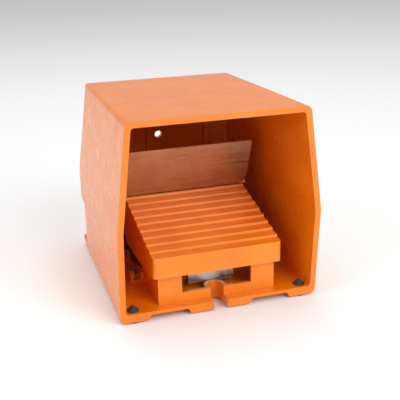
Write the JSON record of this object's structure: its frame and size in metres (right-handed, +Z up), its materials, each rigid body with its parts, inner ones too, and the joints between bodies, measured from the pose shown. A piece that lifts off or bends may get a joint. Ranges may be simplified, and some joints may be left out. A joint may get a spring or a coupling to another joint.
{
  "type": "guarded foot switch",
  "caption": "Industrial foot switch: a die-cast hood, open to the front, over a ribbed sprung pedal with a hinged trigger flap at its toe end.",
  "frame": {"origin": "centre of the bounding box, on the plane the feet stand on", "axes": "+Z up, -Y towards the open front where the foot goes in, +X to the right seen from the front"},
  "size_m": [0.16, 0.186, 0.1562],
  "materials": {
    "orange_cast": "satin",
    "black_rubber": "matte",
    "zinc_steel": "satin",
    "yellow_steel": "satin",
    "spring_steel": "satin",
    "plunger_brass": "satin",
    "black_plastic": "matte"
  },
  "bodies": {
    "housing": {"hood": "orange_cast", "foot_front_left": "black_rubber", "foot_front_right": "black_rubber", "foot_rear_left": "black_rubber", "foot_rear_right": "black_rubber", "base": "orange_cast", "base_screws": "zinc_steel", "pedal_pin": "zinc_steel", "contact_housing": "black_plastic", "housing_lid": "black_plastic", "housing_screws": "zinc_steel", "contact_bracket": "zinc_steel", "bracket_screws": "zinc_steel", "plunger_seals": "black_rubber", "pedal_spring_left": "spring_steel", "pedal_spring_right": "spring_steel", "latch_catch": "zinc_steel", "pedal_stops": "black_rubber", "cable_gland": "black_plastic", "gland_nut": "black_plastic", "gland_seal": "black_rubber", "earth_screw": "yellow_steel", "earth_washer": "yellow_steel"},
    "pedal": {"pedal": "orange_cast", "flap_pin": "zinc_steel"},
    "flap": {"trigger_flap": "yellow_steel", "flap_spring_left": "spring_steel", "flap_spring_right": "spring_steel"},
    "plunger_left": {"plunger_left": "plunger_brass"},
    "plunger_right": {"plunger_right": "plunger_brass"}
  },
  "joints": [
    {"name": "pedal_hinge", "type": "hinge", "parent": "housing", "child": "pedal", "pos_m": [0, -0.068, 0.0372], "axis": [-1, 0, 0], "range_deg": [0, 9], "stiffness_Nm_per_rad": 6, "springref_deg": -11.46, "deforming": ["pedal_spring_left", "pedal_spring_right"]},
    {"name": "flap_hinge", "type": "hinge", "parent": "pedal", "child": "flap", "pos_m": [0, 0.0074, 0.07136], "axis": [-1, 0, 0], "range_deg": [0, 21.5], "stiffness_Nm_per_rad": 0.15, "springref_deg": -28.65},
    {"name": "plunger_left_slide", "type": "slide", "parent": "housing", "child": "plunger_left", "axis": [0, 0, -1], "range_m": [0, 0.0052], "stiffness_N_per_m": 400, "springref_m": -0.005},
    {"name": "plunger_right_slide", "type": "slide", "parent": "housing", "child": "plunger_right", "axis": [0, 0, -1], "range_m": [0, 0.0052], "stiffness_N_per_m": 400, "springref_m": -0.005}
  ],
  "couplings": [
    {"joint": "plunger_left_slide", "follows": "pedal_hinge", "m_per_rad": 0.0328},
    {"joint": "plunger_right_slide", "follows": "pedal_hinge", "m_per_rad": 0.0328}
  ]
}
